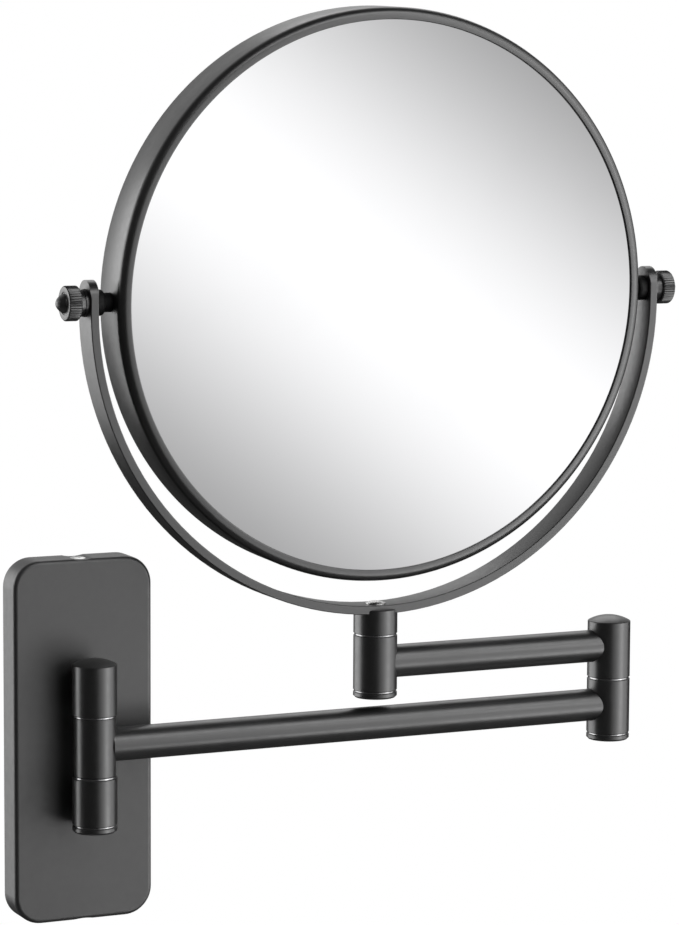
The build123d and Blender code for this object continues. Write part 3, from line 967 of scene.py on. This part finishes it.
@dataclass
class Yoke(SubAssembly):
    """The half ring that holds the mirror, its post, screw and swivel pin."""

    node_slots: dict[str, Slot] = field(
        default_factory=lambda: {
            "yoke_strip": Slot.BLACK_ENAMEL,
            "yoke_post": Slot.BLACK_ENAMEL,
            "head_pin": Slot.STEEL_PIN,
            "head_washer": Slot.BEARING_WASHER,
            "head_cap_washer": Slot.BEARING_WASHER,
            "head_end_cap": Slot.BLACK_ENAMEL,
        }
    )
    head_r: float = 3.7
    shank_r: float = 1.95
    head_height: float = 1.2
    head_rim: float = 0.4
    crown: tuple[tuple[float, float], ...] = ((3.55, 0.46), (2.5, 0.80), (1.3, 1.0), (0.0, 1.07))
    recess_length: float = 3.3
    recess_width: float = 0.7
    recess_depth: float = 0.8
    recess_turn: float = math.radians(20.0)
    recess_taper: float = 0.45

    def build(self) -> None:
        """Builds the cross-head screw in the saddle."""
        low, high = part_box("yoke_screw")
        top = high.z / MM
        seat = top - self.head_height
        crown = [Corner(radius, seat + rise, 0.2 if radius else 0.0) for radius, rise in self.crown]
        screw = TurnedPiece(
            "yoke_cross_screw",
            (
                Corner(0.0, low.z / MM),
                Corner(self.shank_r, low.z / MM, 0.3, 2),
                Corner(self.shank_r, seat),
                Corner(self.head_r, seat, 0.08, 2),
                Corner(self.head_r, seat + self.head_rim, 0.08, 2),
                *crown,
            ),
            steps=72,
            closed=False,
        ).build()
        combine(screw, self.cross_cutter(seat + self.crown[-1][1]), "DIFFERENCE")
        smooth(screw)
        settle(screw, Matrix.Translation(((low.x + high.x) / 2, (low.y + high.y) / 2, 0.0)))
        self.hand_over(screw, "yoke_screw", Slot.BRIGHT_SCREW, Body.YOKE)

    def cross_cutter(self, top: float) -> bpy.types.Object:
        """The tapered cross that is pressed into the screw's head.

        Args:
            top: Height of the head's top, in millimetres.

        Returns:
            The cutter, with its two bars joined.
        """
        middle = top * MM
        bars = []
        for turn in (0.0, math.pi / 2):
            deselect_all()
            bpy.ops.mesh.primitive_cube_add(size=1.0, location=(0.0, 0.0, middle))
            bar = bpy.context.active_object
            bar.scale = (self.recess_length * MM, self.recess_width * MM, 2 * self.recess_depth * MM)
            bar.rotation_euler = (0.0, 0.0, self.recess_turn + turn)
            bpy.ops.object.transform_apply(location=True, rotation=True, scale=True)
            bpy.ops.object.mode_set(mode="EDIT")
            select_vertices(bar, lambda at: at.z < middle)
            bpy.ops.transform.resize(
                value=(self.recess_taper, self.recess_taper, 1.0), center_override=(0.0, 0.0, middle)
            )
            bpy.ops.object.mode_set(mode="OBJECT")
            bars.append(bar)
        combine(bars[0], bars[1], "UNION")
        return bars[0]


@dataclass
class MirrorHead(SubAssembly):
    """The drawn frame with its bezel, both mirrors and the pivots."""

    node_slots: dict[str, Slot] = field(
        default_factory=lambda: {
            "rear_bezel": Slot.BLACK_ENAMEL,
            "rear_mirror": Slot.MIRROR_GLASS,
            "mirror_spacer": Slot.SPACER_PLASTIC,
            "mirror_backing": Slot.BACKING_FOAM,
            "pivot_block_left": Slot.ZINC_STEEL,
            "pivot_block_right": Slot.ZINC_STEEL,
            "pivot_stud_left": Slot.STEEL_PIN,
            "pivot_stud_right": Slot.STEEL_PIN,
        }
    )
    frame_r: float = 103.0
    lip_r: float = 98.6
    half_depth: float = 10.0
    sheet: float = 1.2
    edge_rounding: float = 2.7
    lip_fall: float = 0.3
    lip_thickness: float = 0.75
    glass_back: float = 5.8
    glass_clearance: float = 0.4
    stud_hole_r: float = 2.02

    def build(self) -> None:
        """Builds the drawn frame and the flat front mirror, and dresses the collars."""
        self.build_frame()
        self.build_front_mirror()
        for node in ("pivot_collar_left", "pivot_collar_right"):
            self.finishes.coat(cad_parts[node], self.finishes.collar_coat)

    def facing_front(self) -> Matrix:
        """Where a piece that was spun about Z goes, with its low end to the front."""
        return head_place() @ Matrix.Rotation(-math.pi / 2, 4, "X")

    def build_frame(self) -> None:
        """The drawn ring, its edge rolled over into a soft front lip."""
        back = self.half_depth - self.sheet
        inner = self.frame_r - self.sheet
        ring = TurnedPiece(
            "drawn_mirror_frame",
            (
                Corner(self.lip_r, -self.half_depth, 0.5, 5),
                Corner(self.frame_r, self.lip_fall - self.half_depth, self.edge_rounding, 12),
                Corner(self.frame_r, back, 0.1, 2),
                Corner(inner, back),
                Corner(inner, self.lip_thickness - self.half_depth, 0.6, 3),
                Corner(self.lip_r, self.lip_thickness - self.half_depth),
            ),
            steps=256,
        ).build()
        deselect_all()
        bpy.ops.mesh.primitive_cylinder_add(
            vertices=32,
            radius=self.stud_hole_r * MM,
            depth=3 * self.frame_r * MM,
            rotation=(0.0, math.pi / 2, 0.0),
        )
        drill = bpy.context.active_object
        bpy.ops.object.transform_apply(location=True, rotation=True, scale=True)
        combine(ring, drill, "DIFFERENCE")
        smooth(ring)
        settle(ring, self.facing_front())
        self.hand_over(ring, "mirror_frame", Slot.BLACK_ENAMEL, Body.MIRROR_HEAD)

    def build_front_mirror(self) -> None:
        """The flat mirror, whose rounded edge is hidden behind the lip."""
        front = self.lip_thickness - self.half_depth
        outer = self.frame_r - self.sheet - self.glass_clearance
        glass = TurnedPiece(
            "flat_front_mirror",
            (
                Corner(0.0, front),
                Corner(outer, front, 0.8, 4),
                Corner(outer, -self.glass_back, 0.3, 2),
                Corner(0.0, -self.glass_back),
            ),
            steps=256,
            closed=False,
        ).build()
        smooth(glass, degrees=5.0)
        settle(glass, self.facing_front())
        self.hand_over(glass, "front_mirror", Slot.MIRROR_GLASS, Body.MIRROR_HEAD)


@dataclass
class ThumbKnobs(SubAssembly):
    """The two knurled knobs that clamp the mirror, with their washers."""

    node_slots: dict[str, Slot] = field(
        default_factory=lambda: {
            "knob_washer_left": Slot.BLACK_ENAMEL,
            "knob_washer_right": Slot.BLACK_ENAMEL,
        }
    )
    neck_start: float = 113.28
    neck_r: float = 4.7
    drum: tuple[float, float] = (115.1, 119.9)
    drum_r: float = 6.2
    drum_edge: float = 0.45
    tip: float = 123.0
    bore_r: float = 2.02
    bore_end: float = 119.0
    recess_r: tuple[float, float] = (3.5, 4.0)
    recess_depth: float = 0.3
    recess_slope: float = 0.15
    cone_base: tuple[float, float] = (0.1, 0.5)
    cone_shoulder: tuple[float, float] = (0.62, 1.05)
    cone_nose: tuple[float, float] = (0.30, 0.3)
    teeth: int = 40
    tooth_depth: float = 0.4
    tooth_land: float = 0.07
    skin: float = 0.02

    def build(self) -> None:
        """Builds both knobs, each with its own mesh."""
        for name, side, body in (("left", -1, Body.LEFT_KNOB), ("right", 1, Body.RIGHT_KNOB)):
            knob = self.turn_knob(f"knurled_thumb_knob_{name}")
            self.cut_knurl(knob)
            smooth(knob, degrees=24.0)
            settle(knob, head_place() @ Matrix.Rotation(side * math.pi / 2, 4, "Y"))
            self.hand_over(knob, f"knob_{name}", Slot.BLACK_ENAMEL, body)

    def turn_knob(self, name: str) -> bpy.types.Object:
        """Turns the plain knob: neck, drum, grooved face and cone.

        Args:
            name: The piece's name.

        Returns:
            The knob about the Z axis, before its knurl.
        """
        start, end = self.drum
        cone_r, groove_r = self.recess_r
        floor = end - self.recess_depth
        rim = self.drum_r - self.drum_edge
        base_inset, base_rise = self.cone_base
        shoulder_share, shoulder_drop = self.cone_shoulder
        nose_share, nose_drop = self.cone_nose
        outline = (
            Corner(self.bore_r, self.neck_start),
            Corner(self.neck_r, self.neck_start, 0.2, 2),
            Corner(self.neck_r, start, 0.15, 2),
            Corner(rim, start),
            Corner(self.drum_r, start + self.drum_edge),
            Corner(self.drum_r, end - self.drum_edge),
            Corner(rim, end, 0.12, 2),
            Corner(groove_r, end, 0.1, 2),
            Corner(groove_r - self.recess_slope, floor, 0.06, 2),
            Corner(cone_r, floor, 0.06, 2),
            Corner(cone_r - base_inset, end + base_rise, 0.2, 3),
            Corner(shoulder_share * cone_r, self.tip - shoulder_drop, 0.4, 4),
            Corner(nose_share * cone_r, self.tip - nose_drop, 0.3, 4),
            Corner(0.0, self.tip),
            Corner(0.0, self.bore_end),
            Corner(self.bore_r, self.bore_end),
        )
        return TurnedPiece(name, outline, steps=2 * self.teeth).build()

    def cut_knurl(self, knob: bpy.types.Object) -> None:
        """Presses every second line along the drum inwards, which leaves straight teeth.

        Args:
            knob: The plain knob about the Z axis.
        """
        bpy.context.view_layer.objects.active = knob
        bpy.ops.object.mode_set(mode="EDIT")
        spacing = math.pi / self.teeth

        def in_valley(at: Vector) -> bool:
            """Whether a vertex is on the drum's skin and on an odd line."""
            on_skin = math.hypot(at.x, at.y) > (self.drum_r - self.skin) * MM
            return on_skin and round(math.atan2(at.y, at.x) / spacing) % 2 == 1

        select_vertices(knob, in_valley)
        share = (self.drum_r - self.tooth_depth) / self.drum_r
        bpy.ops.transform.resize(value=(share, share, 1.0), center_override=(0.0, 0.0, 0.0))
        self.select_ridges(knob)
        bpy.ops.mesh.bevel(offset=self.tooth_land * MM, segments=2, affect="EDGES", profile=0.5)
        bpy.ops.mesh.select_all(action="SELECT")
        bpy.ops.mesh.normals_make_consistent(inside=False)
        bpy.ops.object.mode_set(mode="OBJECT")

    def select_ridges(self, knob: bpy.types.Object) -> None:
        """Selects the crest of every tooth.

        Args:
            knob: The knob in edit mode, with its valleys already pressed in.
        """
        shape = bmesh.from_edit_mesh(knob.data)
        bpy.ops.mesh.select_all(action="DESELECT")
        for edge in shape.edges:
            first, last = (vertex.co for vertex in edge.verts)
            upright = abs(first.z - last.z) > MM and (first - last).to_2d().length < 0.01 * MM
            if upright and math.hypot(first.x, first.y) > (self.drum_r - self.skin) * MM:
                edge.select = True
        bmesh.update_edit_mesh(knob.data)


# ---------------------------------------------------------------------------
# Studio
# ---------------------------------------------------------------------------


def aimed(position: Vector, target: Vector, roll: float = 0.0) -> Matrix:
    """A placement that looks from one point at another.

    Args:
        position: Where the lamp or camera stands.
        target: The point that it faces.
        roll: Turn about its own line of sight, in radians.

    Returns:
        The world matrix.
    """
    turn = (target - position).to_track_quat("-Z", "Y").to_matrix().to_4x4()
    return Matrix.Translation(position) @ turn @ Matrix.Rotation(roll, 4, "Z")


@dataclass(frozen=True)
class SoftLamp:
    """A rectangular soft lamp, placed by its direction from the object."""

    name: str
    azimuth: float
    elevation: float
    distance: float
    size: tuple[float, float]
    radiance: float
    aim: tuple[float, float, float] = (0.09, -0.02, 0.09)

    def build(self) -> None:
        """Adds the lamp, which the camera doesn't see."""
        across, up = math.radians(self.azimuth), math.radians(self.elevation)
        aim = Vector(self.aim)
        way = Vector((math.sin(across) * math.cos(up), -math.cos(across) * math.cos(up), math.sin(up)))
        data = bpy.data.lights.new(self.name, "AREA")
        data.shape = "RECTANGLE"
        data.size, data.size_y = self.size
        data.energy = self.radiance * math.pi * self.size[0] * self.size[1]
        lamp = bpy.data.objects.new(self.name, data)
        bpy.context.scene.collection.objects.link(lamp)
        lamp.matrix_world = aimed(aim + way * self.distance, aim)
        lamp.visible_camera = False


@dataclass
class Studio:
    """A plain white studio with soft lamps and the camera."""

    eye: Vector = field(default_factory=lambda: Vector((-0.4399, -1.1764, 0.2468)))
    look_at: Vector = field(default_factory=lambda: Vector((0.09431, -0.022, 0.0961)))
    roll: float = math.radians(0.294)
    focal_length: float = 138.6
    sensor_width: float = 36.0
    clip: tuple[float, float] = (0.05, 50.0)
    floor_place: tuple[float, float] = (0.1, 0.0)
    floor_drop: float = 0.80
    floor_radius: float = 9.0
    floor_grey: float = 0.15
    ambient: float = 0.05
    backdrop: float = 0.50
    lamps: tuple[SoftLamp, ...] = (
        SoftLamp("left_softbox", -132.0, 0.0, 1.3, (1.4, 1.1), 1.7),
        SoftLamp("right_softbox", 70.0, 4.0, 1.3, (1.1, 1.5), 0.98),
        SoftLamp("key_softbox", 22.0, 40.0, 1.4, (1.2, 0.5), 1.7),
        SoftLamp("low_front_softbox", 25.0, -26.0, 1.3, (1.0, 0.5), 0.38),
        SoftLamp("rear_softbox", 150.0, 40.0, 1.4, (0.8, 0.9), 1.0),
    )
    card_distance: float = 1.25
    card_size: float = 1.8
    card_surround: float = 1.7
    band_turn: float = math.radians(35.8)
    band_light: tuple[float, float] = (1.10, 0.35)
    band_width: float = 0.24
    right_fade: tuple[float, float] = (-0.26, 0.10)
    ring_fade: tuple[float, float] = (0.28, 0.48)
    edge_fade: tuple[float, float] = (0.62, 0.88)

    def build(self) -> None:
        """Sets up the world, the floor, the lamps, the gradient card and the camera."""
        self.set_world()
        self.lay_floor()
        for lamp in self.lamps:
            lamp.build()
        self.hang_card()
        self.place_camera()
        bpy.context.scene.view_settings.view_transform = "Standard"
        bpy.context.scene.view_settings.look = "None"

    def set_world(self) -> None:
        """White for the camera, and for light and reflections a dim room with a brighter far side."""
        world = bpy.data.worlds.new("studio")
        bpy.context.scene.world = world
        graph = empty_graph(world)
        seen = graph.node("ShaderNodeBackground")
        seen.inputs["Color"].default_value = WHITE
        room = graph.node("ShaderNodeBackground")
        room.inputs["Color"].default_value = WHITE
        way = graph.node("ShaderNodeTexCoord").outputs["Generated"]
        behind = graph.spread(graph.along(way, "Y"), self.ambient, self.backdrop, 0.1, 0.9, smooth=True)
        graph.link(behind, room.inputs["Strength"])
        both = graph.hidden_or_seen(room.outputs["Background"], seen.outputs["Background"])
        graph.link(both, graph.node("ShaderNodeOutputWorld").inputs["Surface"])

    def lay_floor(self) -> None:
        """Lays a grey floor well below the object, which the camera sees as white."""
        low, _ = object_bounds()
        deselect_all()
        bpy.ops.mesh.primitive_circle_add(
            vertices=96,
            radius=self.floor_radius,
            fill_type="NGON",
            location=(*self.floor_place, low[2] - self.floor_drop),
        )
        floor = bpy.context.active_object
        floor.name = "studio_floor"
        material = bpy.data.materials.new("pale_floor")
        graph = empty_graph(material)
        lit = graph.node("ShaderNodeBsdfDiffuse")
        lit.inputs["Color"].default_value = (self.floor_grey, self.floor_grey, self.floor_grey, 1.0)
        seen = graph.node("ShaderNodeEmission")
        seen.inputs["Color"].default_value = WHITE
        both = graph.hidden_or_seen(lit.outputs["BSDF"], seen.outputs["Emission"])
        graph.link(both, graph.node("ShaderNodeOutputMaterial").inputs["Surface"])
        floor.data.materials.append(material)
        floor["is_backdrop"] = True

    def hang_card(self) -> None:
        """Hangs the softly graded card that the flat mirror reflects."""
        mirror_low, mirror_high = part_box("front_mirror")
        centre = (mirror_low + mirror_high) / 2
        view = (centre - self.eye).normalized()
        normal = Vector((0.0, -math.cos(REST_LEAN), -math.sin(REST_LEAN)))
        bounced = view - 2 * view.dot(normal) * normal
        deselect_all()
        bpy.ops.mesh.primitive_plane_add(size=self.card_size)
        card = bpy.context.active_object
        card.name = "graded_card"
        card.matrix_world = aimed(centre + bounced * self.card_distance, centre)
        card.data.materials.append(self.card_light())
        card.visible_camera = False
        card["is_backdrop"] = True

    def card_light(self) -> bpy.types.Material:
        """The card's light: a slanting band, a bright stretch round it on the right, and faded edges.

        Returns:
            The finished material.
        """
        material = bpy.data.materials.new("graded_card_light")
        graph = empty_graph(material)
        point = graph.object_point()
        turned = graph.mapped(point, turn=(0.0, 0.0, self.band_turn))
        off_band = graph.maths("ABSOLUTE", graph.along(turned, "Y"))
        band = graph.spread(off_band, *self.band_light, 0.0, self.band_width, smooth=True)
        far = graph.node("ShaderNodeVectorMath", operation="LENGTH")
        graph.link(point, far.inputs[0])
        out = far.outputs["Value"]
        rightwards = graph.spread(
            graph.along(point, "X"), 0.0, self.card_surround, *self.right_fade, smooth=True
        )
        surround = graph.spread(out, 0.0, rightwards, *self.ring_fade, smooth=True)
        edge = graph.spread(out, 1.0, 0.0, *self.edge_fade, smooth=True)
        light = graph.node("ShaderNodeEmission")
        strength = graph.maths("MULTIPLY", graph.maths("ADD", band, surround), edge)
        graph.link(strength, light.inputs["Strength"])
        output = graph.node("ShaderNodeOutputMaterial")
        graph.link(light.outputs["Emission"], output.inputs["Surface"])
        return material

    def place_camera(self) -> None:
        """Adds the camera at the product view."""
        data = bpy.data.cameras.new("product_camera")
        data.lens = self.focal_length
        data.sensor_width = self.sensor_width
        data.clip_start, data.clip_end = self.clip
        camera = bpy.data.objects.new("product_camera", data)
        bpy.context.scene.collection.objects.link(camera)
        camera.matrix_world = aimed(self.eye, self.look_at, self.roll)
        bpy.context.scene.camera = camera


def main() -> None:
    """Builds every sub-assembly in order and reports each piece."""
    logging.basicConfig(level=logging.INFO, format="%(name)s: %(message)s")
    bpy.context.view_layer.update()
    finishes = FinishCard()
    finishes.build()
    for assembly in (
        WallMount(finishes),
        LongArm(finishes),
        ShortArm(finishes),
        Yoke(finishes),
        MirrorHead(finishes),
        ThumbKnobs(finishes),
    ):
        assembly.make()
        LOG.info("finished %s", type(assembly).__name__)
    Studio().build()


if __name__ == "__main__":
    main()
